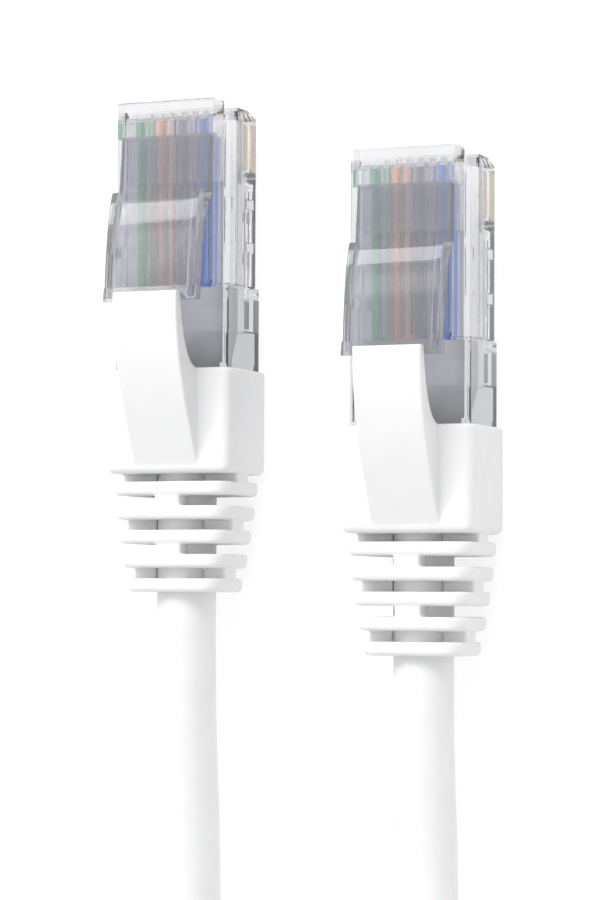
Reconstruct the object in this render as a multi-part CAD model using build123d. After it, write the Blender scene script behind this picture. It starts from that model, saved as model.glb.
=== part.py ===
from build123d import *
import math
import os

# Ethernet patch cable: two snagless RJ45 ends on one metre of round cable.
#
# All sizes are millimetres. The cable lies on a table at z = 0, both latches up and both
# noses towards +Y. Each end is drawn in its own plug space and then moved to its place:
# depth is counted back from the nose, height is counted up from the contact face.

# ---------------------------------------------------------------- driving dimensions

# The two ends
CONTACT_FACE_HEIGHT = 2.2          # contact face above the table
END_A = (-11.15, 24.0)             # x of the centre line and y of the nose
END_B = (11.15, 18.7)

# Plug housing
NOSE_WIDTH = 11.68
NOSE_START = 0.6
DECK_HEIGHT = 4.4                  # top of the nose, under the latch
NOSE_SLANT = 0.6                   # the nose's front face leans back towards the contacts
NOSE_SLANT_HEIGHT = 2.4
ROOT_WIDTH = 9.2                   # block at the front that carries the latch
ROOT_DEPTH = 3.2
ROOT_HEIGHT = 6.6
STEP_DEPTH = 16.0                  # the thick rear of the plug starts here
REAR_WIDTH = 10.9
REAR_LOW = -1.66
REAR_HIGH = 5.25
BOOT_DEPTH = 23.3                  # the plug goes into the boot here
NECK_END = 26.3
NECK_WIDTH = 9.9
NECK_HEIGHT = 6.0
AXIS_HEIGHT = 1.6                  # centre line of the neck and the cable
EDGE_ROUND = 0.35

# Contacts and wires
WIRE_COUNT = 8
PITCH = 1.02
WIRE_HEIGHT = 3.1
WIRE_RADIUS = 0.475
CORE_RADIUS = 0.25
CORE_CLEARANCE = 0.02
WIRE_START = 1.4
COMB_END = 16.3                    # the single row of wires parts into two rows from here
FAN_START = 20.0                   # and the two rows draw together from here
FAN_END = 27.0
BUNDLE_PITCH = 0.96                # between wires in the round cable, two rows of four
WIRE_BEND_RADIUS = 4.0
BLADE_THICKNESS = 0.35
BLADE_FRONT = 1.55
BLADE_BACK = 5.6
BLADE_FACE = 0.35
BLADE_TIP = 3.3
SLOT_WIDTH = 0.41
LOAD_BAR = (9.0, 2.0)
LOAD_BAR_FRONT = 1.25
LOAD_BAR_BACK = 7.0
CAVITY = (9.1, 2.1)
CAVITY_FRONT = 1.15
RIB_WIDTH = 0.24
RIB_BACK = 15.5
LOWER_RIB_TOP = 2.75
UPPER_RIB_LOW = 3.45
HOLE_CLEARANCE = 0.015             # round each wire in the load bar
SLOT_FRONT = 1.45                  # slots for the blades, in the plug and the load bar
SLOT_BACK = 5.75
BLADE_SHOULDER = 0.6
BLADE_CORNER = 0.25
BLADE_BODY_TOP = 1.9
PRONG_FOOT = 2.3
PRONG_HALF_WIDTH = 0.45
PRONG_DEPTHS = (4.75, 2.4)
CRIMP_WIDTH = 7.0
CRIMP_DEPTHS = (17.0, 19.5)
CRIMP_HEIGHTS = (-1.0, 1.25)
CRIMP_WINDOW_GAP = 0.2
POCKET_GAP = 0.1                   # wider than the flat jacket in all
POCKET_HEIGHTS = (1.2, 4.3)        # round the flat jacket, then where it is drawn out
TAPER_HEIGHTS = (-1.05, 4.35)
POCKET_WALL = 0.5                  # left in front of the boot
NECK_WALL = 0.45
NOTCH_DEPTHS = (8.3, 12.1)         # shallow grip notches on the sides
NOTCH_LENGTH = 0.9
NOTCH_HEIGHTS = (0.7, 2.1)
NOTCH_CUT = 0.5
CHANNEL_DEPTHS = ((1.9, 7.6), (8.4, 12.4))
CHANNEL_PLACE = 5.05               # across the plug
CHANNEL_WIDTH = 0.7
CHANNEL_CUT = 0.25
JOIN = 0.1                         # joined solids reach this far into each other

# Latch lever
LATCH_PIVOT = (3.85, 6.1)          # depth and height
LATCH_ROOT_RADIUS = 0.5
LATCH_WIDTH = 8.4
LATCH_STEP_DEPTH = 8.1
LATCH_TIP_DEPTH = 17.4
LATCH_TIP_HEIGHT = 9.15
LATCH_THICKNESS = 0.85
LATCH_RIB = 0.55
LATCH_STEP_HEIGHT = 7.7
LATCH_STEP_LOW = 5.8
LATCH_STEP_UNDERCUT = 0.75
LATCH_STEP_BACK = 1.4
LATCH_RISE = 0.4                   # from the pivot to the step

# Boot, guard and strain relief rings
BOOT_WIDTH = 12.0
BOOT_THICKNESS = 8.2
BOOT_MIDDLE = 1.9                  # mid height of the boot and the rings
BOOT_ROUND = 0.9
BOOT_END = 32.4
BOOT_SEAT_END = 27.2
GUARD_WIDTH = 5.9
GUARD_TIP_DEPTH = 17.0
GUARD_TOP = 10.5
GUARD_SLOPE_START = 21.5
GUARD_SLOPE_END = 31.7
GUARD_TIP_THICKNESS = 0.96
GUARD_PIVOT = (23.6, 8.2)
GUARD_ROOT_RADIUS = 1.2
GUARD_GAP = 0.12
GUARD_INNER_CURVE = ((19.6, 9.15), (21.6, 8.4))
GUARD_ROOT_LOW = (22.65, 7.45)
BOOT_REAR_ROUND = 0.7
RING_START = 33.1
RING_PITCH = 2.1
RING_THICKNESS = 1.2
RING_WIDTHS = (11.3, 10.9, 10.4, 9.8, 9.0)
RING_HEIGHTS = (8.1, 7.9, 7.6, 7.3, 6.9)
RING_ROUND = 1.6
RING_EDGE = 0.35
WEB_INSET = 0.1
WEB_REACH = 0.4                    # into the rings that it joins
SIDE_WEB_THICKNESS = 2.4
CENTRE_WEB_WIDTH = 2.3
BOOT_EXIT = 42.7

# Cable
CABLE_RADIUS = 2.6
BEND_SHARE = 0.45                  # of the shorter stretch at a corner, taken up by its arc
JACKET_BORE = 2.1
FLAT_JACKET = (9.4, 3.0)
FLAT_BORE = (8.8, 2.24)
FLAT_HEIGHT = 2.75
FLAT_START = 16.2

# Coil and its tie
COIL_CENTRE = (0.0, -87.5)
COIL_OUTER_TURN = 28.6             # radius of the outer turns' centre line
COIL_INNER_TURN = 23.4
COIL_LAYERS = 3
COIL_HEIGHT = COIL_LAYERS * 2 * CABLE_RADIUS
COIL_ROUND = 2.5
TIE_WIDTH = 4.0
TIE_THICKNESS = 0.5
TIE_TAIL = (13.0, 2.4, 1.1)
TIE_TAIL_SINK = 0.1
TIE_TURN = 45.0                    # round the coil, from the side away from the plugs

# Cable runs, from each boot to the coil: points of the centre line
EXIT_A = (END_A[0], END_A[1] - BOOT_EXIT, AXIS_HEIGHT + CONTACT_FACE_HEIGHT)
EXIT_B = (END_B[0], END_B[1] - BOOT_EXIT, AXIS_HEIGHT + CONTACT_FACE_HEIGHT)
RUN_A = [
    EXIT_A,
    (END_A[0], -28.5, EXIT_A[2]),
    (-11.05, -40.2, 2.8),
    (-11.0, -52.0, 2.6),
    (-15.6, -62.8, 2.6),
    (-23.9, -71.1, 2.6),
    (-28.4, -81.9, 2.6),
]
RUN_B = [
    EXIT_B,
    (END_B[0], -32.0, EXIT_B[2]),
    (11.4, -41.2, 3.3),
    (11.6, -52.3, 4.0),
    (15.9, -63.0, 5.7),
    (24.0, -71.2, 7.3),
    (28.4, -81.9, 7.8),
]

WIRE_COLOURS = (
    "green", "white_green", "orange", "white_orange",
    "brown", "white_brown", "blue", "white_blue",
)


# ---------------------------------------------------------------- drawing helpers


def bar(outline, front, back, x=0.0, height=0.0):
    """Extrude an outline drawn across the plug from one depth to another."""
    plane = Plane.XZ.offset(front)
    return extrude(plane * Pos(x, height) * outline, back - front)


def block(width, low, high, front, back, x=0.0):
    """A plain block given by its width, heights and depths."""
    return bar(Rectangle(width, high - low), front, back, x, (low + high) / 2)


def side_plate(outline_points, width, x=0.0):
    """Extrude a side outline, given as (depth, height) points, across the width."""
    outline = Polyline(*[(-depth, height) for depth, height in outline_points], close=True)
    return extrude(Plane.YZ.offset(x) * make_face(outline), width / 2, both=True)


def cross_rod(pivot, radius, width):
    """A rod across the plug, centred on a (depth, height) pivot."""
    rod = Cylinder(radius, width, rotation=(0, 90, 0))
    return Pos(0, -pivot[0], pivot[1]) * rod


def wire_x(index):
    return (index - (WIRE_COUNT - 1) / 2) * PITCH


def tube_radii(points):
    """The largest tangent arc that each corner of a route leaves room for."""
    radii = []
    for before, corner, after in zip(points, points[1:], points[2:]):
        run_in = Vector(*corner) - Vector(*before)
        run_out = Vector(*after) - Vector(*corner)
        half_turn = math.radians(run_in.get_angle(run_out)) / 2
        radii.append(BEND_SHARE * min(run_in.length, run_out.length) / math.tan(half_turn))
    return radii


def round_tube(points, radii, radius):
    """Sweep a circle along straight runs joined by tangent arcs."""
    path = FilletPolyline(*points, radius=radii)
    start = Plane(origin=path @ 0, z_dir=path % 0)
    return sweep(start * Circle(radius), path=path), path.length


# ---------------------------------------------------------------- pieces of one end


def plug_housing():
    nose_outline = RectangleRounded(NOSE_WIDTH, DECK_HEIGHT, EDGE_ROUND)
    nose = bar(nose_outline, NOSE_START, STEP_DEPTH, 0, DECK_HEIGHT / 2)
    front, low = NOSE_START - JOIN, -JOIN
    slant = [(front, low), (front, NOSE_SLANT_HEIGHT), (NOSE_START + NOSE_SLANT, low)]
    nose -= side_plate(slant, NOSE_WIDTH + JOIN)
    root = block(ROOT_WIDTH, DECK_HEIGHT - JOIN, ROOT_HEIGHT, 0, ROOT_DEPTH)
    rear_height = REAR_HIGH - REAR_LOW
    rear_middle = (REAR_HIGH + REAR_LOW) / 2
    rear_outline = RectangleRounded(REAR_WIDTH, rear_height, EDGE_ROUND)
    rear = bar(rear_outline, STEP_DEPTH, BOOT_DEPTH, 0, rear_middle)
    neck_outline = RectangleRounded(NECK_WIDTH, NECK_HEIGHT, EDGE_ROUND)
    neck = bar(neck_outline, BOOT_DEPTH - JOIN, NECK_END, 0, AXIS_HEIGHT)
    body = nose + root + rear + neck

    # Wire cavity, then the wider pocket that takes the flattened jacket
    body -= bar(Rectangle(*CAVITY), CAVITY_FRONT, STEP_DEPTH, 0, WIRE_HEIGHT)
    pocket_width = FLAT_JACKET[0] + POCKET_GAP
    body -= block(pocket_width, *POCKET_HEIGHTS, STEP_DEPTH - JOIN, FAN_START)
    body -= block(pocket_width, *TAPER_HEIGHTS, FAN_START - JOIN, BOOT_DEPTH - POCKET_WALL)
    neck_opening = NECK_WIDTH - 2 * NECK_WALL
    body -= block(neck_opening, *TAPER_HEIGHTS, BOOT_DEPTH - POCKET_WALL - JOIN, NECK_END + JOIN)

    # Comb ribs between the wires, from the floor and from the roof of the cavity
    floor = WIRE_HEIGHT - CAVITY[1] / 2
    roof = WIRE_HEIGHT + CAVITY[1] / 2
    for index in range(WIRE_COUNT - 1):
        x = wire_x(index) + PITCH / 2
        body += block(RIB_WIDTH, floor - JOIN, LOWER_RIB_TOP, LOAD_BAR_BACK + JOIN, RIB_BACK, x)
        body += block(RIB_WIDTH, UPPER_RIB_LOW, roof + JOIN, LOAD_BAR_BACK + JOIN, RIB_BACK, x)

    # Contact slots, open on the contact face
    for index in range(WIRE_COUNT):
        body -= block(SLOT_WIDTH, -JOIN, floor + JOIN, SLOT_FRONT, SLOT_BACK, wire_x(index))

    # Window for the crimp bar
    front, back = CRIMP_DEPTHS
    window_width = CRIMP_WIDTH + CRIMP_WINDOW_GAP
    body -= block(
        window_width, REAR_LOW - JOIN, CRIMP_HEIGHTS[1] + JOIN / 2,
        front - CRIMP_WINDOW_GAP, back + CRIMP_WINDOW_GAP,
    )

    # Grip notches on the sides, and channels along the deck's edges
    for side in (-1, 1):
        for front in NOTCH_DEPTHS:
            place = side * NOSE_WIDTH / 2
            body -= block(2 * NOTCH_CUT, *NOTCH_HEIGHTS, front, front + NOTCH_LENGTH, place)
        for front, back in CHANNEL_DEPTHS:
            bottom = DECK_HEIGHT - CHANNEL_CUT
            body -= block(CHANNEL_WIDTH, bottom, DECK_HEIGHT + JOIN, front, back, side * CHANNEL_PLACE)
    return body


def latch_lever():
    pivot_depth, pivot_height = LATCH_PIVOT
    tip_low = LATCH_TIP_HEIGHT - LATCH_THICKNESS
    outline = [
        (pivot_depth, pivot_height + LATCH_ROOT_RADIUS),
        (LATCH_STEP_DEPTH, pivot_height + LATCH_ROOT_RADIUS + LATCH_RISE),
        (LATCH_STEP_DEPTH, LATCH_STEP_HEIGHT),
        (LATCH_TIP_DEPTH, LATCH_TIP_HEIGHT),
        (LATCH_TIP_DEPTH, tip_low),
        (LATCH_STEP_DEPTH + LATCH_STEP_BACK, LATCH_STEP_HEIGHT - LATCH_STEP_UNDERCUT),
        (LATCH_STEP_DEPTH, LATCH_STEP_LOW),
        (pivot_depth, pivot_height - LATCH_ROOT_RADIUS),
    ]
    lever = side_plate(outline, LATCH_WIDTH)
    lever += cross_rod(LATCH_PIVOT, LATCH_ROOT_RADIUS, LATCH_WIDTH)
    rib_outline = [
        (LATCH_STEP_DEPTH, LATCH_STEP_HEIGHT - JOIN),
        (LATCH_STEP_DEPTH, LATCH_STEP_HEIGHT + LATCH_RIB),
        (LATCH_TIP_DEPTH, LATCH_TIP_HEIGHT + LATCH_RIB),
        (LATCH_TIP_DEPTH, LATCH_TIP_HEIGHT - JOIN),
    ]
    for side in (-1, 1):
        lever += side_plate(rib_outline, LATCH_RIB, side * (LATCH_WIDTH - LATCH_RIB) / 2)
    return lever


def contact_blade(index):
    front, back = BLADE_FRONT, BLADE_BACK
    outline = [(front, BLADE_SHOULDER), (front + BLADE_CORNER, BLADE_FACE)]
    outline += [(back - BLADE_CORNER, BLADE_FACE), (back, BLADE_SHOULDER), (back, BLADE_BODY_TOP)]
    for prong in PRONG_DEPTHS:
        outline.append((prong + PRONG_HALF_WIDTH, PRONG_FOOT))
        outline.append((prong, BLADE_TIP))
        outline.append((prong - PRONG_HALF_WIDTH, PRONG_FOOT))
    outline.append((front, BLADE_BODY_TOP))
    return side_plate(outline, BLADE_THICKNESS, wire_x(index))


def load_bar():
    holder = bar(Rectangle(*LOAD_BAR), LOAD_BAR_FRONT, LOAD_BAR_BACK, 0, WIRE_HEIGHT)
    hole = Circle(WIRE_RADIUS + HOLE_CLEARANCE)
    low = WIRE_HEIGHT - LOAD_BAR[1] / 2
    for index in range(WIRE_COUNT):
        x = wire_x(index)
        holder -= bar(hole, LOAD_BAR_FRONT - JOIN, LOAD_BAR_BACK + JOIN, x, WIRE_HEIGHT)
        holder -= block(SLOT_WIDTH, low - JOIN, WIRE_HEIGHT, SLOT_FRONT, SLOT_BACK, x)
    return holder


def wire_route(index):
    """One flat row through the comb, then two rows of four that draw together."""
    row = 0.5 - index % 2
    column = index // 2 - 1.5
    x = wire_x(index)
    flat_x = x * BUNDLE_PITCH / PITCH
    bundle_x = column * BUNDLE_PITCH
    return [
        (x, -WIRE_START, WIRE_HEIGHT),
        (x, -COMB_END, WIRE_HEIGHT),
        (flat_x, -FAN_START, FLAT_HEIGHT + row * BUNDLE_PITCH),
        (bundle_x, -FAN_END, AXIS_HEIGHT + row * BUNDLE_PITCH),
        (bundle_x, -BOOT_EXIT, AXIS_HEIGHT + row * BUNDLE_PITCH),
    ]


def wire_insulation(index, blade):
    route = wire_route(index)
    outer, _ = round_tube(route, WIRE_BEND_RADIUS, WIRE_RADIUS)
    bore, _ = round_tube(route, WIRE_BEND_RADIUS, CORE_RADIUS + CORE_CLEARANCE)
    return outer - bore - blade


def wire_core(index, blade):
    core, _ = round_tube(wire_route(index), WIRE_BEND_RADIUS, CORE_RADIUS)
    return core - blade


def jacket_form(flat_size, round_radius, front):
    """A flat oval where the plug grips it, drawn out to a circle for the cable."""
    oval = SlotOverall(*flat_size)
    flat = bar(oval, front, FAN_START, 0, FLAT_HEIGHT)
    oval_end = Plane.XZ.offset(FAN_START) * Pos(0, FLAT_HEIGHT) * oval
    circle_end = Plane.XZ.offset(FAN_END) * Pos(0, AXIS_HEIGHT) * Circle(round_radius)
    taper = loft([oval_end, circle_end], ruled=True)
    tail = bar(Circle(round_radius), FAN_END, BOOT_EXIT, 0, AXIS_HEIGHT)
    return flat + taper + tail


def jacket_end():
    outer = jacket_form(FLAT_JACKET, CABLE_RADIUS, FLAT_START)
    return outer - jacket_form(FLAT_BORE, JACKET_BORE, FLAT_START)


def crimp_bar():
    return block(CRIMP_WIDTH, *CRIMP_HEIGHTS, *CRIMP_DEPTHS)


def ring_outline(index, inset=0.0):
    width = RING_WIDTHS[index] - 2 * inset
    height = RING_HEIGHTS[index] - 2 * inset
    return RectangleRounded(width, height, RING_ROUND - inset / 2)


def strain_ring(index):
    front = RING_START + index * RING_PITCH
    ring = bar(ring_outline(index), front, front + RING_THICKNESS, 0, BOOT_MIDDLE)
    rims = ring.faces().sort_by(Axis.Y)[-1].edges() + ring.faces().sort_by(Axis.Y)[0].edges()
    return fillet(rims, RING_EDGE)


def ring_web(index):
    """Joins a ring to what is in front of it: by turns a rib at each side, and one at the top and bottom."""
    back = RING_START + index * RING_PITCH + WEB_REACH
    front = back - (RING_PITCH - RING_THICKNESS) - 2 * WEB_REACH
    whole = bar(ring_outline(index, WEB_INSET), front, back, 0, BOOT_MIDDLE)
    half_height = SIDE_WEB_THICKNESS / 2
    if index % 2 == 0:
        return whole & block(BOOT_WIDTH, BOOT_MIDDLE - half_height, BOOT_MIDDLE + half_height, front, back)
    return whole & block(CENTRE_WEB_WIDTH, -BOOT_THICKNESS, BOOT_THICKNESS, front, back)


def boot():
    outline = RectangleRounded(BOOT_WIDTH, BOOT_THICKNESS, BOOT_ROUND)
    body = bar(outline, BOOT_DEPTH, BOOT_END, 0, BOOT_MIDDLE)
    rear_rim = body.faces().sort_by(Axis.Y)[0].edges()
    body = fillet(rear_rim, BOOT_REAR_ROUND)
    top = BOOT_MIDDLE + BOOT_THICKNESS / 2
    pivot_depth, pivot_height = GUARD_PIVOT
    wedge_outline = [
        (BOOT_DEPTH, top - JOIN),
        (BOOT_DEPTH, pivot_height),
        (pivot_depth, pivot_height + GUARD_ROOT_RADIUS),
        (GUARD_SLOPE_END, top),
        (GUARD_SLOPE_END, top - JOIN),
    ]
    wedge = side_plate(wedge_outline, GUARD_WIDTH)
    wedge -= cross_rod(GUARD_PIVOT, GUARD_ROOT_RADIUS + GUARD_GAP, GUARD_WIDTH + JOIN)
    body += wedge
    for index in range(len(RING_WIDTHS)):
        body += ring_web(index)
        body += strain_ring(index)
    seat = RectangleRounded(NECK_WIDTH, NECK_HEIGHT, EDGE_ROUND)
    body -= bar(seat, BOOT_DEPTH - JOIN, BOOT_SEAT_END, 0, AXIS_HEIGHT)
    body -= bar(Circle(CABLE_RADIUS), BOOT_SEAT_END - JOIN, BOOT_EXIT + JOIN, 0, AXIS_HEIGHT)
    return body


def latch_guard():
    pivot_depth, pivot_height = GUARD_PIVOT
    tip_low = GUARD_TOP - GUARD_TIP_THICKNESS
    with BuildPart() as guard:
        with BuildSketch(Plane.YZ):
            with BuildLine():
                Polyline(
                    (-GUARD_ROOT_LOW[0], GUARD_ROOT_LOW[1]),
                    (-pivot_depth, pivot_height),
                    (-pivot_depth, pivot_height + GUARD_ROOT_RADIUS),
                    (-GUARD_SLOPE_START, GUARD_TOP),
                    (-GUARD_TIP_DEPTH, GUARD_TOP),
                    (-GUARD_TIP_DEPTH, tip_low),
                )
                inner = [(-depth, height) for depth, height in GUARD_INNER_CURVE]
                Spline(
                    (-GUARD_TIP_DEPTH, tip_low),
                    *inner,
                    (-GUARD_ROOT_LOW[0], GUARD_ROOT_LOW[1]),
                )
            make_face()
        extrude(amount=GUARD_WIDTH / 2, both=True)
    return guard.part + cross_rod(GUARD_PIVOT, GUARD_ROOT_RADIUS, GUARD_WIDTH)


def build_end(letter, place):
    """All the pieces of one end, in the row's frame, by node name."""
    move = Pos(place[0], place[1], CONTACT_FACE_HEIGHT)
    pieces = {
        "plug_housing": plug_housing(),
        "latch_lever": latch_lever(),
        "load_bar": load_bar(),
        "crimp_bar": crimp_bar(),
        "jacket_end": jacket_end(),
        "boot": boot(),
        "latch_guard": latch_guard(),
    }
    cores = []
    for index, colour in enumerate(WIRE_COLOURS):
        blade = contact_blade(index)
        pieces[f"contact_{index + 1}"] = blade
        pieces[f"wire_{colour}"] = wire_insulation(index, blade)
        cores.append(wire_core(index, blade))
    pieces["copper_cores"] = Compound(children=cores)
    return {f"{name}_{letter}": move * piece for name, piece in pieces.items()}


# ---------------------------------------------------------------- cable between the ends


def cable_run(points):
    radii = tube_radii(points)
    tube, length = round_tube(points, radii, CABLE_RADIUS)
    expected = math.pi * CABLE_RADIUS**2 * length
    print("run radii", [round(radius, 1) for radius in radii], "length", round(length, 1))
    print("run volume over section times length", round(tube.volume / expected, 4))
    return tube


def tie_loop():
    """A flat strap round the coil's section, part of the way round from the side away from the plugs."""
    inner_edge = COIL_INNER_TURN - CABLE_RADIUS
    outer_edge = COIL_OUTER_TURN + CABLE_RADIUS
    width = outer_edge - inner_edge
    middle = (inner_edge + outer_edge) / 2
    outside = RectangleRounded(
        width + 2 * TIE_THICKNESS, COIL_HEIGHT + TIE_THICKNESS, COIL_ROUND
    )
    inside = RectangleRounded(width, COIL_HEIGHT - TIE_THICKNESS, COIL_ROUND - TIE_THICKNESS)
    centre = (COIL_HEIGHT + TIE_THICKNESS) / 2
    strap = extrude(Plane.YZ * Pos(0, centre) * outside, TIE_WIDTH / 2, both=True)
    strap -= extrude(Plane.YZ * Pos(0, centre) * inside, TIE_WIDTH, both=True)
    tail_height = COIL_HEIGHT + TIE_THICKNESS + TIE_TAIL[2] / 2
    strap += Pos(TIE_TAIL[0] / 2, 0, tail_height - TIE_TAIL_SINK) * Box(*TIE_TAIL)
    return Pos(*COIL_CENTRE, 0) * Rot(0, 0, -TIE_TURN) * Pos(0, -middle, 0) * strap


def cable_coil(tie):
    inner_edge = COIL_INNER_TURN - CABLE_RADIUS
    outer_edge = COIL_OUTER_TURN + CABLE_RADIUS
    width = outer_edge - inner_edge
    section = RectangleRounded(width, COIL_HEIGHT, COIL_ROUND)
    middle = (inner_edge + outer_edge) / 2
    ring = revolve(Plane.XZ * Pos(middle, COIL_HEIGHT / 2) * section, Axis.Z)
    return Pos(*COIL_CENTRE, 0) * ring - tie


# ---------------------------------------------------------------- all nodes

nodes = build_end("a", END_A) | build_end("b", END_B)
tie = tie_loop()
nodes["cable_run_a"] = cable_run(RUN_A)
nodes["cable_run_b"] = cable_run(RUN_B)
nodes["cable_coil"] = cable_coil(tie)
nodes["coil_tie"] = tie

os.makedirs("parts", exist_ok=True)
for name, shape in nodes.items():
    export_step(shape, f"parts/{name}.step")
print(len(nodes), "nodes")
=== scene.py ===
import math

import bmesh
import bpy
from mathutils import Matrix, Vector


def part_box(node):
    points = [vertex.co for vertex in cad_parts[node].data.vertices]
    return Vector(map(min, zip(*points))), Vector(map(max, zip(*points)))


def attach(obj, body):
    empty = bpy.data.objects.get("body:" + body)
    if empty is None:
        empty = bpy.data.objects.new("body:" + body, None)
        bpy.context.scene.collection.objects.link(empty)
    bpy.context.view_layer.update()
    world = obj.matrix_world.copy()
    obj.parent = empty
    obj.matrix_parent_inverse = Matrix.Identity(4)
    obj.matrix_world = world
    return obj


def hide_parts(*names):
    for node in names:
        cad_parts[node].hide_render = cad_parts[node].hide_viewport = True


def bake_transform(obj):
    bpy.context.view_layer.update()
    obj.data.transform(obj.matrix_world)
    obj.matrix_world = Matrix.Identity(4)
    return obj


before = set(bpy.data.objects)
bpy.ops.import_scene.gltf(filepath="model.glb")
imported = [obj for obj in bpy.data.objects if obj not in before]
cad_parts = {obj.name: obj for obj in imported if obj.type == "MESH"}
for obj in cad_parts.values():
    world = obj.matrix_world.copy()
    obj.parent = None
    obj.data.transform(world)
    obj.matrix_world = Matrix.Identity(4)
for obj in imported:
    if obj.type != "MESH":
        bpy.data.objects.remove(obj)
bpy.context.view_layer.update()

MM = 0.001

# ---------------------------------------------------------------- places, from the frame

# Plug space: x across, depth back from the nose, height up from the contact face, in mm.
CONTACT_FACE = 2.2              # height of the contact face over the table
AXIS_HEIGHT = 1.6               # of the cable, where it leaves the boot
BOOT_EXIT = 42.7                # depth where it leaves the boot
ENDS = {}                       # middle across and nose of each plug, in metres of the frame
for letter in "ab":
    low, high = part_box(f"plug_housing_{letter}")
    ENDS[letter] = ((low.x + high.x) / 2, high.y)


def at(letter, x, depth, height):
    """A plug-space point, in mm, as a point of the frame, in metres."""
    centre, nose = ENDS[letter]
    return Vector((centre + x * MM, nose - depth * MM, (CONTACT_FACE + height) * MM))


# ---------------------------------------------------------------- camera

CAMERA_PLACE = (0.1030, -0.0197, 0.2417)
CAMERA_TURN = (3.07, 23.47, 0.32)
CAMERA_LENS = 120.0
SENSOR_HEIGHT = 36.0
NEAREST_SEEN = 0.01

camera_data = bpy.data.cameras.new("camera")
camera_data.sensor_fit = "VERTICAL"
camera_data.sensor_height = SENSOR_HEIGHT
camera_data.lens = CAMERA_LENS
camera_data.clip_start = NEAREST_SEEN
camera = bpy.data.objects.new("camera", camera_data)
camera.location = CAMERA_PLACE
camera.rotation_euler = [math.radians(angle) for angle in CAMERA_TURN]
bpy.context.scene.collection.objects.link(camera)
bpy.context.scene.camera = camera

# ---------------------------------------------------------------- materials

SHADOW_TINT = (0.93, 0.93, 0.94)        # what a lamp's light keeps through each wall of clear plastic
STRIPE_HALF, STRIPE_EDGE = 0.14, 0.19   # where a wire's stripe starts and ends fading, in mm from its middle
SHADE_FADE = 0.5                         # how far the jacket's painted shade fades into its own white, in mm


class Nodes:
    """A node material with a Principled shader, built up call by call."""

    def __init__(self, name):
        self.material = bpy.data.materials.new(name)
        self.material.use_nodes = True
        self.tree = self.material.node_tree
        self.shader = self.tree.nodes["Principled BSDF"]
        self.place = self.add("ShaderNodeTexCoord").outputs["Object"]

    def add(self, kind, **values):
        node = self.tree.nodes.new(kind)
        for key, value in values.items():
            setattr(node, key, value)
        return node

    def link(self, source, target):
        self.tree.links.new(source, target)

    def set(self, **values):
        for key, value in values.items():
            self.shader.inputs[key.replace("_", " ")].default_value = value

    def noise(self, scale, detail=3.0, stretch=(1, 1, 1)):
        mapping = self.add("ShaderNodeMapping")
        mapping.inputs["Scale"].default_value = stretch
        texture = self.add("ShaderNodeTexNoise")
        texture.inputs["Scale"].default_value = scale
        texture.inputs["Detail"].default_value = detail
        self.link(self.place, mapping.inputs["Vector"])
        self.link(mapping.outputs["Vector"], texture.inputs["Vector"])
        return texture.outputs["Fac"]

    def spread(self, value, low, high, start=0.3, end=0.7):
        node = self.add("ShaderNodeMapRange")
        node.inputs["From Min"].default_value = start
        node.inputs["From Max"].default_value = end
        node.inputs["To Min"].default_value = low
        node.inputs["To Max"].default_value = high
        self.link(value, node.inputs["Value"])
        return node.outputs["Result"]

    def blend(self, factor, first, second):
        node = self.add("ShaderNodeMix", data_type="RGBA")
        node.inputs["A"].default_value = (*first, 1)
        node.inputs["B"].default_value = (*second, 1)
        self.link(factor, node.inputs["Factor"])
        return node.outputs["Result"]

    def over(self, factor, base, colour):
        """A plain colour laid over a varying one."""
        node = self.add("ShaderNodeMix", data_type="RGBA")
        node.inputs["B"].default_value = (*colour, 1)
        self.link(factor, node.inputs["Factor"])
        self.link(base, node.inputs["A"])
        return node.outputs["Result"]

    def along(self, axis):
        """The place along one axis of the frame, in metres."""
        node = self.add("ShaderNodeSeparateXYZ")
        self.link(self.place, node.inputs["Vector"])
        return node.outputs[axis]

    def bump(self, value, depth_mm, strength=1.0):
        node = self.add("ShaderNodeBump")
        node.inputs["Strength"].default_value = strength
        node.inputs["Distance"].default_value = depth_mm * MM
        self.link(value, node.inputs["Height"])
        self.link(node.outputs["Normal"], self.shader.inputs["Normal"])


def moulded_white(name, light, dark, roughness, grain, grain_depth, painted_shade=None, shade_start_y=0.0):
    """Soft white PVC: faint clouding, a fine moulded grain and slightly uneven gloss.

    A jacket end can also be painted darker in front of the given y: painted shade where it lies inside the
    clear plug.
    """
    nodes = Nodes(name)
    colour = nodes.blend(nodes.spread(nodes.noise(420.0, 4.0), 0, 1), light, dark)
    if painted_shade is not None:
        # painted shade: the jacket turns darker in front of the given y, where it lies inside the clear plug
        share = nodes.spread(nodes.along("Y"), 0, 1, shade_start_y - SHADE_FADE * MM, shade_start_y + SHADE_FADE * MM)
        colour = nodes.over(share, colour, painted_shade)
    nodes.link(colour, nodes.shader.inputs["Base Color"])
    nodes.link(nodes.spread(nodes.noise(900.0), *roughness), nodes.shader.inputs["Roughness"])
    nodes.bump(nodes.noise(grain, 4.0), grain_depth)
    nodes.set(IOR=1.5, Subsurface_Weight=0.08, Subsurface_Scale=0.001)
    return nodes.material


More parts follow.
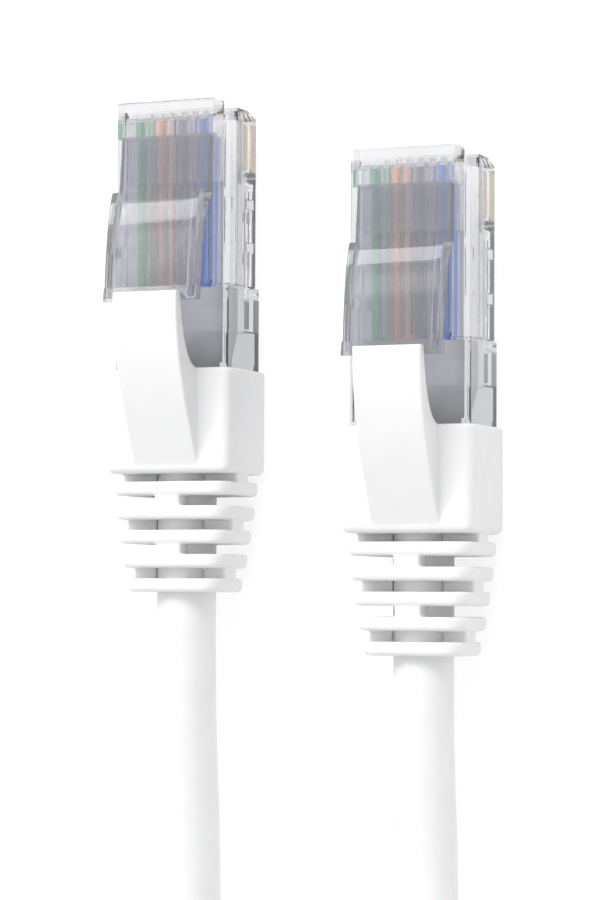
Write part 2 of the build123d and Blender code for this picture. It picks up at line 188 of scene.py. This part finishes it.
def clear_plastic(name, tint, clearness, roughness):
    """Clear polycarbonate that bends what is seen through it, a little cloudy, with faint flow ripples."""
    nodes = Nodes(name)
    darker = tuple(0.96 * part for part in tint)
    cloud = nodes.spread(nodes.noise(500.0), 0, 1)
    nodes.link(nodes.blend(cloud, tint, darker), nodes.shader.inputs["Base Color"])
    nodes.link(nodes.spread(nodes.noise(600.0), *roughness), nodes.shader.inputs["Roughness"])
    nodes.bump(nodes.noise(260.0, 2.0, (1, 0.3, 1)), 0.008, 0.5)
    nodes.set(IOR=1.45, Transmission_Weight=clearness)
    path = nodes.add("ShaderNodeLightPath")
    clear = nodes.add("ShaderNodeBsdfTransparent")
    clear.inputs["Color"].default_value = (*SHADOW_TINT, 1)
    surface = nodes.add("ShaderNodeMixShader")
    nodes.link(path.outputs["Is Shadow Ray"], surface.inputs["Fac"])
    nodes.link(nodes.shader.outputs["BSDF"], surface.inputs[1])
    nodes.link(clear.outputs["BSDF"], surface.inputs[2])
    nodes.link(surface.outputs["Shader"], nodes.tree.nodes["Material Output"].inputs["Surface"])
    return nodes.material


def metal(name, light, dark, roughness):
    """Bare metal with fine marks drawn out along the cable."""
    nodes = Nodes(name)
    nodes.set(Metallic=1.0)
    shade = nodes.noise(1500.0, 3.0, (1, 0.2, 1))
    nodes.link(nodes.blend(nodes.spread(shade, 0, 1), light, dark), nodes.shader.inputs["Base Color"])
    nodes.link(nodes.spread(nodes.noise(2500.0), *roughness), nodes.shader.inputs["Roughness"])
    nodes.bump(nodes.noise(4000.0, 2.0, (1, 0.1, 1)), 0.004)
    return nodes.material


def wire_plastic(name, colour, stripe, centre_x):
    """Smooth polyethylene; a white wire carries a stripe of its pair's colour."""
    nodes = Nodes(name)
    darker = tuple(0.86 * part for part in colour)
    shade = nodes.spread(nodes.noise(700.0, 3.0, (1, 0.25, 1)), 0, 1)
    shown = nodes.blend(shade, colour, darker)
    if stripe is not None:
        offset = nodes.add("ShaderNodeMath", operation="SUBTRACT")
        offset.inputs[1].default_value = centre_x
        nodes.link(nodes.along("X"), offset.inputs[0])
        size = nodes.add("ShaderNodeMath", operation="ABSOLUTE")
        nodes.link(offset.outputs[0], size.inputs[0])
        share = nodes.spread(size.outputs[0], 1, 0, STRIPE_HALF * MM, STRIPE_EDGE * MM)
        shown = nodes.over(share, shown, stripe)
    nodes.link(shown, nodes.shader.inputs["Base Color"])
    nodes.link(nodes.spread(nodes.noise(1300.0), 0.28, 0.4), nodes.shader.inputs["Roughness"])
    nodes.bump(nodes.noise(1800.0), 0.006)
    return nodes.material


CABLE_WHITE = moulded_white("cable_white", (0.81, 0.81, 0.815), (0.78, 0.78, 0.785), (0.38, 0.5), 2400, 0.012)
BOOT_WHITE = moulded_white("boot_white", (0.81, 0.81, 0.815), (0.79, 0.79, 0.795), (0.4, 0.52), 3000, 0.01)
TIE_WHITE = moulded_white("tie_white", (0.78, 0.78, 0.78), (0.72, 0.72, 0.72), (0.35, 0.5), 2000, 0.02)
CLEAR = clear_plastic("clear_polycarbonate", (0.8, 0.805, 0.825), 0.97, (0.02, 0.05))
CLEAR_LEVER = clear_plastic("clear_lever", (0.5, 0.51, 0.54), 0.87, (0.05, 0.1))
CLEAR_INSERT = clear_plastic("clear_insert", (0.86, 0.865, 0.88), 0.93, (0.06, 0.12))
GOLD = metal("gold_plating", (0.93, 0.77, 0.52), (0.86, 0.68, 0.42), (0.14, 0.26))
COPPER = metal("bare_copper", (0.88, 0.5, 0.33), (0.76, 0.4, 0.25), (0.22, 0.36))
# the jacket's own white, and a darker grey painted on its end inside the clear plug as painted shade
JACKET_OWN_WHITE, JACKET_PAINTED_SHADE = (0.82, 0.82, 0.825), (0.45, 0.45, 0.465)

# ---------------------------------------------------------------- mesh helpers, in mm of plug space


def piece_from(name, bm, material=None):
    mesh = bpy.data.meshes.new(name)
    bmesh.ops.recalc_face_normals(bm, faces=bm.faces)
    bm.to_mesh(mesh)
    bm.free()
    obj = bpy.data.objects.new(name, mesh)
    bpy.context.scene.collection.objects.link(obj)
    if material is not None:
        mesh.materials.append(material)
    return obj


def settle(obj):
    """Apply the modifiers of a mesh object."""
    depsgraph = bpy.context.evaluated_depsgraph_get()
    final = bpy.data.meshes.new_from_object(obj.evaluated_get(depsgraph))
    obj.modifiers.clear()
    old = obj.data
    obj.data = final
    bpy.data.meshes.remove(old)
    return obj


def join(base, others, operation="UNION"):
    """Boolean the other solids into a base solid, and remove them."""
    for other in others:
        modifier = base.modifiers.new("join", "BOOLEAN")
        modifier.operation = operation
        modifier.solver = "EXACT"
        modifier.object = other
        settle(base)
        bpy.data.objects.remove(other)
    return base


def soften(obj, width, segments=2, angle=30.0):
    """Round the sharp edges a little."""
    modifier = obj.modifiers.new("soften", "BEVEL")
    modifier.width = width
    modifier.segments = segments
    modifier.limit_method = "ANGLE"
    modifier.angle_limit = math.radians(angle)
    return settle(obj)


def mould(obj, voxel, passes, keep):
    """Flow joined solids together into one soft-edged skin."""
    remesh = obj.modifiers.new("mould", "REMESH")
    remesh.mode = "VOXEL"
    remesh.voxel_size = voxel
    relax = obj.modifiers.new("relax", "SMOOTH")
    relax.factor = 0.5
    relax.iterations = passes
    thin = obj.modifiers.new("thin", "DECIMATE")
    thin.ratio = keep
    return settle(obj)


def smooth(obj, angle=40.0):
    """Smooth shading between the sharp edges, led by the large faces."""
    obj.data.shade_smooth()
    obj.data.set_sharp_from_angle(angle=math.radians(angle))
    modifier = obj.modifiers.new("normals", "WEIGHTED_NORMAL")
    modifier.keep_sharp = True
    return settle(obj)


def rounded_outline(width, height, radius, steps=6):
    """A rectangle with round corners, as (x, height) points about its centre."""
    points = []
    for quarter, (side_x, side_z) in enumerate(((1, 1), (-1, 1), (-1, -1), (1, -1))):
        centre_x = side_x * (width / 2 - radius)
        centre_z = side_z * (height / 2 - radius)
        for step in range(steps + 1):
            angle = math.radians(90 * (quarter + step / steps))
            points.append((centre_x + radius * math.cos(angle), centre_z + radius * math.sin(angle)))
    return points


def bridge(bm, rings):
    """Join each ring of vertices to the next."""
    for first, second in zip(rings, rings[1:]):
        for index, vertex in enumerate(first):
            following = (index + 1) % len(first)
            bm.faces.new((vertex, first[following], second[following], second[index]))


def fill(bm, sections):
    """Close a row of equal rings of 3-D points into a solid."""
    rings = [[bm.verts.new(point) for point in section] for section in sections]
    bridge(bm, rings)
    bm.faces.new(rings[0])
    bm.faces.new(list(reversed(rings[-1])))


def skin(name, sections):
    """A piece of one filled row of rings."""
    bm = bmesh.new()
    fill(bm, sections)
    return piece_from(name, bm)


def block(width, low, high, front, back):
    half = width / 2
    corners = ((half, high), (-half, high), (-half, low), (half, low))
    return skin("block", [[(x, -depth, height) for x, height in corners] for depth in (front, back)])


def side_plate(points, width, x=0.0):
    """A (depth, height) outline, extruded across the plug."""
    sections = [[(x + side * width / 2, -depth, height) for depth, height in points] for side in (-1, 1)]
    return skin("side_plate", sections)


def rod(radius, front, back, steps=64):
    """A round rod on the cable's axis."""
    turns = [2 * math.pi * step / steps for step in range(steps)]
    sections = [
        [(radius * math.cos(t), -depth, AXIS_HEIGHT + radius * math.sin(t)) for t in turns]
        for depth in (front, back)
    ]
    return skin("rod", sections)


def bezier(points, steps):
    """A cubic curve through plug-side (depth, height) points, its first end left out."""
    curve = []
    for step in range(1, steps + 1):
        t = step / steps
        weights = ((1 - t) ** 3, 3 * t * (1 - t) ** 2, 3 * t * t * (1 - t), t ** 3)
        curve.append(tuple(sum(w * p[axis] for w, p in zip(weights, points)) for axis in (0, 1)))
    return curve


def at_end(source, letter, name, material):
    """A copy of a piece made in plug space, moved to one end of the cable, in metres."""
    mesh = source.data.copy()
    mesh.name = name
    offset = at(letter, 0, 0, 0)
    for vertex in mesh.vertices:
        vertex.co = vertex.co * MM + offset
    mesh.materials.clear()
    mesh.materials.append(material)
    obj = bpy.data.objects.new(name, mesh)
    bpy.context.scene.collection.objects.link(obj)
    return obj


# ---------------------------------------------------------------- cable

CABLE_DIAMETER = 0.0052
EXIT_A = at("a", 0, BOOT_EXIT, AXIS_HEIGHT)
EXIT_B = at("b", 0, BOOT_EXIT, AXIS_HEIGHT)
# The two runs from the boots to the coil, as control points in metres
LEAD_A = [
    tuple(EXIT_A),
    (-0.01115, -0.0285, 0.0038),
    (-0.01105, -0.0402, 0.0028),
    (-0.0110, -0.0520, 0.0026),
    (-0.0156, -0.0628, 0.0026),
    (-0.0239, -0.0711, 0.0026),
    (-0.0284, -0.0819, 0.0026),
]
LEAD_B = [
    tuple(EXIT_B),
    (0.01115, -0.0320, 0.0038),
    (0.0114, -0.0412, 0.0033),
    (0.0116, -0.0523, 0.0040),
    (0.0159, -0.0630, 0.0057),
    (0.0240, -0.0712, 0.0073),
    (0.0284, -0.0819, 0.0078),
]
COIL_CENTRE = (0.0, -0.0875)
OUTER_TURN = 0.0286             # radius of the outer column's centre line
INNER_TURN = 0.0234
MIDDLE_TURN = (OUTER_TURN + INNER_TURN) / 2
TURNS = 4.5
STEPS_PER_TURN = 16
SHIFT_TURNS = 0.3               # how long a change of column or layer takes
# Where each change of column or layer starts, in turns, and the column and layer that it leads to
SHIFTS = (
    (0.45, INNER_TURN, 0),
    (1.35, INNER_TURN, 1),
    (2.25, INNER_TURN, 2),
    (3.15, OUTER_TURN, 2),
    (3.65, OUTER_TURN, 1),
)
TIE_TURN = 0.125                # where the tie goes round the coil, in turns from its left side
TIE_THICKNESS = 0.0005
TIE_LIFT_TURNS = 0.08           # the turns rise over the tie this far to each side of it

# The twist tie, in mm
CABLE_REACH = CABLE_DIAMETER / 2 / MM
TIE_WIDTH, STRIP_THICKNESS, WIRE_THICKNESS, WIRE_HALF = 4.0, 0.35, 0.5, 0.6
TAIL_LENGTH, TAIL_RADIUS, TAIL_WAIST = 13.0, 1.15, 0.5
TAIL_TWISTS, TAIL_STEPS, TAIL_SPOKES = 2.5, 60, 20
TAIL_ROOT, TAIL_END = (6, 0.3), (8, 0.25)       # how fast it widens from each end, and how wide it is there


def ease(value):
    """0 to 1, with a soft start and end."""
    value = min(max(value, 0.0), 1.0)
    return value * value * (3 - 2 * value)


def coil_place(turn):
    """Radius and height of the centre line, that many turns round the coil."""
    radius, layer = OUTER_TURN, 0
    for start, next_radius, next_layer in SHIFTS:
        done = ease((turn - start) / SHIFT_TURNS)
        radius += (next_radius - radius) * done
        layer += (next_layer - layer) * done
    round_turn = (turn - TIE_TURN + 0.5) % 1 - 0.5
    lift = TIE_THICKNESS * ease(1 - abs(round_turn) / TIE_LIFT_TURNS)
    return radius, CABLE_DIAMETER * (layer + 0.5) + lift


def coil_points():
    """Control points of the coil, far enough out that the curve lies on the turns."""
    swell = 1 / math.cos(math.pi / STEPS_PER_TURN)
    points = []
    for step in range(round(TURNS * STEPS_PER_TURN)):
        turn = (step + 0.5) / STEPS_PER_TURN
        radius, height = coil_place(turn)
        angle = math.pi + 2 * math.pi * turn
        points.append((
            COIL_CENTRE[0] + radius * swell * math.cos(angle),
            COIL_CENTRE[1] + radius * swell * math.sin(angle),
            height,
        ))
    return points


def make_cable():
    route = LEAD_A + coil_points() + list(reversed(LEAD_B))
    curve = bpy.data.curves.new("cable", "CURVE")
    curve.dimensions = "3D"
    curve.resolution_u = 10
    curve.bevel_depth = CABLE_DIAMETER / 2
    curve.bevel_resolution = 10
    curve.use_fill_caps = True
    spline = curve.splines.new("NURBS")
    spline.points.add(len(route) - 1)
    for point, place in zip(spline.points, route):
        point.co = (*place, 1.0)
    spline.order_u = 3
    spline.use_endpoint_u = True
    curve.materials.append(CABLE_WHITE)
    obj = bpy.data.objects.new("cable", curve)
    bpy.context.scene.collection.objects.link(obj)
    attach(obj, "cable")
    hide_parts("cable_run_a", "cable_coil", "cable_run_b")
    return obj


def around_tie(x, outward, height):
    """A point by the tie, in mm along the coil, out from the middle of its turns and up, in the frame."""
    angle = math.pi + 2 * math.pi * TIE_TURN
    out = Vector((math.cos(angle), math.sin(angle), 0))
    along = Vector((-out.y, out.x, 0))
    return Vector((*COIL_CENTRE, height * MM)) + out * (MIDDLE_TURN + outward * MM) + along * x * MM


def tied_turns():
    """Where the turns pass the tie, as (outward, height) in mm."""
    places = [coil_place(turn + TIE_TURN) for turn in range(int(TURNS) + 1)]
    return [((radius - MIDDLE_TURN) / MM, height / MM) for radius, height in places]


def taut_outline(gap, steps=48):
    """The line that a strip pulled tight round the tied turns takes."""
    turns = tied_turns()
    reach = CABLE_REACH + gap
    outline = []
    for step in range(steps):
        angle = 2 * math.pi * step / steps
        out, up = math.cos(angle), math.sin(angle)
        outermost = max(turns, key=lambda place: place[0] * out + place[1] * up)
        outline.append((outermost[0] + reach * out, outermost[1] + reach * up))
    return outline


def tie_strap(bm):
    """The flat strip round the turns, thicker along its middle where the wire is."""
    half = TIE_WIDTH / 2
    profile = [
        (-half, STRIP_THICKNESS), (-WIRE_HALF, STRIP_THICKNESS), (0, WIRE_THICKNESS),
        (WIRE_HALF, STRIP_THICKNESS), (half, STRIP_THICKNESS), (half, 0), (-half, 0),
    ]
    loops = [[bm.verts.new(around_tie(x, *place)) for place in taut_outline(gap)] for x, gap in profile]
    bridge(bm, loops + loops[:1])


def tie_tail(bm):
    """The two ends of the strip, twisted together on top of the coil."""
    top_turn = max(tied_turns(), key=lambda place: place[1])
    base = top_turn[1] + CABLE_REACH + TIE_THICKNESS / MM + TAIL_RADIUS
    sections = []
    for step in range(TAIL_STEPS + 1):
        share = step / TAIL_STEPS
        taper = min(1.0, TAIL_ROOT[0] * share + TAIL_ROOT[1], TAIL_END[0] * (1 - share) + TAIL_END[1])
        points = []
        for spoke in range(TAIL_SPOKES):
            angle = 2 * math.pi * spoke / TAIL_SPOKES
            reach = taper * (TAIL_WAIST + (TAIL_RADIUS - TAIL_WAIST) * math.cos(angle) ** 2)
            turned = angle + 2 * math.pi * TAIL_TWISTS * share
            out = top_turn[0] + reach * math.cos(turned)
            points.append(around_tie(TAIL_LENGTH * share, out, base + reach * math.sin(turned)))
        sections.append(points)
    fill(bm, sections)


def make_tie():
    bm = bmesh.new()
    tie_strap(bm)
    tie_tail(bm)
    tie = smooth(piece_from("twist_tie", bm, TIE_WHITE))
    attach(tie, "cable")
    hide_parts("coil_tie")


cable = make_cable()
make_tie()

# ---------------------------------------------------------------- boot, rings and guard

BOOT_FRONT, BOOT_REAR = 23.3, 32.4
BOOT_WIDTH, BOOT_THICKNESS, BOOT_ROUND = 12.0, 8.2, 0.9
BOOT_FRONT_EDGE, BOOT_REAR_EDGE = 0.15, 0.6
BOOT_MIDDLE = 1.9
BOOT_TOP = BOOT_MIDDLE + BOOT_THICKNESS / 2
GUARD_WIDTH = 6.1
GUARD_TIP, GUARD_TOP, GUARD_TIP_LOW = 17.0, 10.5, 9.54
GUARD_SLOPE_END = 31.7
GUARD_SLOPE_PULL, GUARD_CREST_PULL = (26.4, 8.6), (22.4, GUARD_TOP + 0.05)
GUARD_LIP_PULL, GUARD_ROOT_PULL = (20.5, 9.2), (23.25, 8.1)
RING_START, RING_PITCH, RING_THICKNESS, RING_ROUND = 33.1, 2.1, 1.2, 1.6
RING_SIZES = ((11.3, 8.1), (10.9, 7.9), (10.4, 7.6), (9.8, 7.3), (9.0, 6.9))
RING_FRONT_EDGE, RING_REAR_EDGE = 0.2, 0.4
SIDE_WEB_THICKNESS = 2.4
CENTRE_WEB_WIDTH = 2.3
WEB_INSET = 0.1                 # how far the webs stand inside their rings at each side, and half that above
NECK_WIDTH, NECK_HEIGHT, SEAT_END = 9.9, 6.0, 27.2
CABLE_HOLE = 2.62
SINK = 0.3                      # joined solids reach this far into each other
PAST_WIDTH, PAST_HEIGHT, PAST_END = 20, 9, 1    # cutting solids are this large, and start this far outside
SKIN_VOXEL, SKIN_PASSES, SKIN_KEPT = 0.13, 4, 0.3


def slab(width, height, corner, front, back, front_edge, back_edge, steps=4):
    """A rounded slab across the plug, at the boot's mid height, with both rims rounded."""
    turns = [math.pi / 2 * step / steps for step in range(steps + 1)]
    rims = [(front + front_edge * (1 - math.sin(t)), front_edge * (1 - math.cos(t))) for t in reversed(turns)]
    rims += [(back - back_edge * (1 - math.sin(t)), back_edge * (1 - math.cos(t))) for t in turns]
    sections = []
    for depth, inset in rims:
        outline = rounded_outline(width - 2 * inset, height - 2 * inset, max(corner - inset, 0.05))
        sections.append([(x, -depth, BOOT_MIDDLE + z) for x, z in outline])
    return skin("slab", sections)


def guard_outline():
    """From the foot of the slope over the crest to the tip, and back along the hollow underside."""
    slope_foot = (GUARD_SLOPE_END, BOOT_TOP)
    tip = (GUARD_TIP, GUARD_TOP)
    outline = [(GUARD_SLOPE_END + SINK, BOOT_TOP - 0.5 * SINK), slope_foot]
    outline += bezier((slope_foot, GUARD_SLOPE_PULL, GUARD_CREST_PULL, tip), steps=20)
    outline.append((GUARD_TIP, GUARD_TIP_LOW))
    foot = (BOOT_FRONT + 0.05, BOOT_TOP)
    outline += bezier((outline[-1], GUARD_LIP_PULL, GUARD_ROOT_PULL, foot), steps=14)
    outline.append((foot[0], BOOT_TOP - 2 * SINK))
    outline.append((GUARD_SLOPE_END, BOOT_TOP - 2 * SINK))
    return outline


def ring_solids(index):
    """One strain-relief ring, and the webs that join it to what is in front of it."""
    width, height = RING_SIZES[index]
    front = RING_START + index * RING_PITCH
    back = front + RING_THICKNESS
    ring = slab(width, height, RING_ROUND, front, back, RING_FRONT_EDGE, RING_REAR_EDGE)
    web_front = front - (RING_PITCH - RING_THICKNESS) - SINK
    web = slab(width - 2 * WEB_INSET, height - WEB_INSET, RING_ROUND, web_front, front + SINK, 0.0, 0.0)
    if index % 2 == 0:
        half = SIDE_WEB_THICKNESS / 2
        keep = block(PAST_WIDTH, BOOT_MIDDLE - half, BOOT_MIDDLE + half, web_front - PAST_END, back)
    else:
        keep = block(CENTRE_WEB_WIDTH, -PAST_HEIGHT, PAST_HEIGHT, web_front - PAST_END, back)
    return ring, join(web, [keep], "INTERSECT")


def boot_and_guard():
    boot = slab(
        BOOT_WIDTH, BOOT_THICKNESS, BOOT_ROUND, BOOT_FRONT, BOOT_REAR, BOOT_FRONT_EDGE, BOOT_REAR_EDGE,
    )
    solids = [side_plate(guard_outline(), GUARD_WIDTH)]
    for index in range(len(RING_SIZES)):
        solids += ring_solids(index)
    join(boot, solids)
    half = NECK_HEIGHT / 2
    seat = block(NECK_WIDTH, AXIS_HEIGHT - half, AXIS_HEIGHT + half, BOOT_FRONT - PAST_END, SEAT_END)
    join(boot, [seat, rod(CABLE_HOLE, SEAT_END - PAST_END, BOOT_EXIT + PAST_END)], "DIFFERENCE")
    mould(boot, SKIN_VOXEL, SKIN_PASSES, SKIN_KEPT)
    return smooth(boot, angle=50)


def place_boots():
    source = boot_and_guard()
    for letter in "ab":
        boot = at_end(source, letter, f"soft_boot_{letter}", BOOT_WHITE)
        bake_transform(boot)
        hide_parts(f"boot_{letter}", f"latch_guard_{letter}")
    bpy.data.objects.remove(source)


# ---------------------------------------------------------------- latch lever

LATCH_WIDTH = 8.4
LATCH_ROOT = 3.0                # the lever grows out of the housing's front block here
LATCH_STEP = 8.1
LATCH_TIP = 17.4
LATCH_WALL = 0.55
LATCH_WALL_HEIGHT = 0.55
LATCH_EDGE = 0.09
# Outlines of the lever, as (depth, height)
LATCH_CROWN = ((LATCH_STEP, 7.72), (9.6, 8.5), (13.0, 8.95), (LATCH_TIP, 9.15))
LATCH_NECK = ((LATCH_ROOT, 6.5), (4.6, 6.62), (LATCH_STEP, 6.98))
LATCH_UNDER = ((LATCH_TIP, 8.3), (13.0, 7.75), (9.5, 6.95), (LATCH_STEP, 5.8), (4.6, 5.7), (LATCH_ROOT, 5.6))
LATCH_WALL_UNDER = ((LATCH_TIP, 8.6), (LATCH_STEP, 7.2))
FOOT_FRONT, FOOT_BACK = LATCH_TIP - 0.9, LATCH_TIP + 0.3
LATCH_FOOT = ((FOOT_FRONT, 8.4), (FOOT_FRONT, 9.3), (FOOT_BACK, 9.55), (FOOT_BACK, 8.6))
FOOT_WIDTH = LATCH_WIDTH + 0.5
WINDOWS = ((9.0, 12.6), (13.3, 16.6))   # front and back of each window in the lever's ribs
WINDOW_WIDTH = 0.3                      # half of it cuts into the rib
WINDOW_LOW, WINDOW_RISE = 7.55, 0.14    # low edge at the lever's step, and how steeply it rises behind that


def lever_top(steps=10):
    """The crowned upper side behind the step, as (depth, height) points."""
    return [LATCH_CROWN[0]] + bezier(LATCH_CROWN, steps)


def window(front, back, outside):
    """The solid that cuts one shallow window into the outside of a rib."""
    low = WINDOW_LOW + WINDOW_RISE * (front - LATCH_STEP)
    outline = ((front, low), (front + 0.15, low + 0.75), (back - 0.1, low + 1.1), (back, low + 0.45))
    return side_plate(outline, WINDOW_WIDTH, outside)


def lever_wall(side):
    """A raised rib along one side of the lever, with its windows."""
    outline = [(depth, height + LATCH_WALL_HEIGHT) for depth, height in lever_top()]
    wall = side_plate([*outline, *LATCH_WALL_UNDER], LATCH_WALL, side * (LATCH_WIDTH - LATCH_WALL) / 2)
    return join(wall, [window(*span, side * (LATCH_WIDTH / 2)) for span in WINDOWS], "DIFFERENCE")


def latch_lever():
    lever = side_plate([*LATCH_NECK, *lever_top(), *LATCH_UNDER], LATCH_WIDTH)
    join(lever, [lever_wall(-1), lever_wall(1)])
    join(lever, [side_plate(LATCH_FOOT, FOOT_WIDTH)])
    soften(lever, LATCH_EDGE)
    return smooth(lever, angle=35)


def place_levers():
    source = latch_lever()
    for letter in "ab":
        lever = at_end(source, letter, f"lever_{letter}", CLEAR_LEVER)
        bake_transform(lever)
        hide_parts(f"latch_lever_{letter}")
    bpy.data.objects.remove(source)


# ---------------------------------------------------------------- carried-over pieces

WIRE_COLOURS = {
    "green": ((0.10, 0.48, 0.22), None),
    "white_green": ((0.62, 0.64, 0.66), (0.10, 0.48, 0.22)),
    "orange": ((0.92, 0.42, 0.20), None),
    "white_orange": ((0.66, 0.64, 0.64), (0.92, 0.42, 0.20)),
    "brown": ((0.24, 0.19, 0.24), None),
    "white_brown": ((0.60, 0.59, 0.63), (0.34, 0.28, 0.33)),
    "blue": ((0.08, 0.20, 0.62), None),
    "white_blue": ((0.60, 0.62, 0.68), (0.22, 0.32, 0.62)),
}
WIRE_PITCH = 1.02
WIRE_CENTRES = {
    colour: (index - (len(WIRE_COLOURS) - 1) / 2) * WIRE_PITCH for index, colour in enumerate(WIRE_COLOURS)
}
PLAIN_FINISHES = {
    "plug_housing": CLEAR, "load_bar": CLEAR_INSERT, "crimp_bar": CLEAR, "copper_cores": COPPER,
}


def finish_nodes():
    """Give the CAD pieces that stay their own finishes."""
    for name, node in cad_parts.items():
        stem = name[:-2] if name[-2:] in ("_a", "_b") else name
        if stem.startswith("contact_"):
            material = GOLD
        elif stem == "jacket_end":
            darker = tuple(0.95 * part for part in JACKET_OWN_WHITE)
            # the jacket end is painted darker inside the plug, in front of the boot: painted shade
            material = moulded_white(
                name, JACKET_OWN_WHITE, darker, (0.4, 0.5), 2400, 0.012,
                painted_shade=JACKET_PAINTED_SHADE, shade_start_y=at(name[-1], 0, BOOT_FRONT, 0).y,
            )
        elif stem.startswith("wire_"):
            wire = stem.removeprefix("wire_")
            centre = WIRE_CENTRES[wire] * MM + ENDS[name[-1]][0]
            material = wire_plastic(name, *WIRE_COLOURS[wire], centre)
        elif stem in PLAIN_FINISHES:
            material = PLAIN_FINISHES[stem]
        else:
            continue
        node.data.materials.clear()
        node.data.materials.append(material)


place_boots()
place_levers()
finish_nodes()

# ---------------------------------------------------------------- floor and light

FLOOR_SIZE = 3.0
FLOOR_LIGHT, FLOOR_DARK = (0.35, 0.35, 0.35), (0.34, 0.34, 0.343)
FLOOR_GLOW = 0.72
LIGHT_TARGET = (0, -0.01, 0)
# Name, place, size and power of each lamp
LIGHTS = (
    ("key", (0.0, 0.5, 0.62), (0.3, 0.3), 1.8),
    ("band", (-0.30, 0.37, 0.49), (0.6, 0.14), 1.9),        # its reflection is the band across the levers
)
HORIZON_LIGHT, SKY_LIGHT = 0.6, 0.93
SKY_ANGLE = 50                  # the sky is at its brightest from here up
BOUNCES = 24


def make_floor():
    bm = bmesh.new()
    bmesh.ops.create_grid(bm, x_segments=1, y_segments=1, size=FLOOR_SIZE)
    nodes = Nodes("floor_white")
    shade = nodes.spread(nodes.noise(3.0, 2.0), 0, 1)
    nodes.link(nodes.blend(shade, FLOOR_LIGHT, FLOOR_DARK), nodes.shader.inputs["Base Color"])
    nodes.set(Roughness=0.9, Specular_IOR_Level=0.1)
    nodes.set(Emission_Color=(1, 1, 1, 1), Emission_Strength=FLOOR_GLOW)
    floor = piece_from("floor", bm, nodes.material)


def area_light(name, place, size, power):
    data = bpy.data.lights.new(name, "AREA")
    data.shape = "RECTANGLE"
    data.size, data.size_y = size
    data.energy = power
    lamp = bpy.data.objects.new(name, data)
    lamp.location = place
    direction = Vector(LIGHT_TARGET) - Vector(place)
    lamp.rotation_euler = direction.to_track_quat("-Z", "Y").to_euler()
    bpy.context.scene.collection.objects.link(lamp)


def studio_world():
    """Soft white from above, duller towards the horizon, so that side faces and clear edges stand out.

    The background itself is seen white.
    """
    world = bpy.data.worlds.new("world")
    world.use_nodes = True
    tree = world.node_tree
    place = tree.nodes.new("ShaderNodeTexCoord")
    axes = tree.nodes.new("ShaderNodeSeparateXYZ")
    tree.links.new(place.outputs["Generated"], axes.inputs["Vector"])
    rise = tree.nodes.new("ShaderNodeMapRange")
    rise.inputs["From Min"].default_value = 0.0
    rise.inputs["From Max"].default_value = math.sin(math.radians(SKY_ANGLE))
    rise.inputs["To Min"].default_value = HORIZON_LIGHT
    rise.inputs["To Max"].default_value = SKY_LIGHT
    tree.links.new(axes.outputs["Z"], rise.inputs["Value"])
    path = tree.nodes.new("ShaderNodeLightPath")
    seen = tree.nodes.new("ShaderNodeMath")
    seen.operation = "MAXIMUM"
    tree.links.new(rise.outputs["Result"], seen.inputs[0])
    tree.links.new(path.outputs["Is Camera Ray"], seen.inputs[1])
    tree.links.new(seen.outputs[0], tree.nodes["Background"].inputs["Strength"])
    tree.nodes["Background"].inputs["Color"].default_value = (1, 1, 1, 1)
    return world


def make_light():
    for lamp in LIGHTS:
        area_light(*lamp)
    bpy.context.scene.world = studio_world()
    bpy.context.scene.view_settings.view_transform = "Standard"
    bpy.context.scene.cycles.max_bounces = BOUNCES
    bpy.context.scene.cycles.transmission_bounces = BOUNCES


make_floor()
make_light()
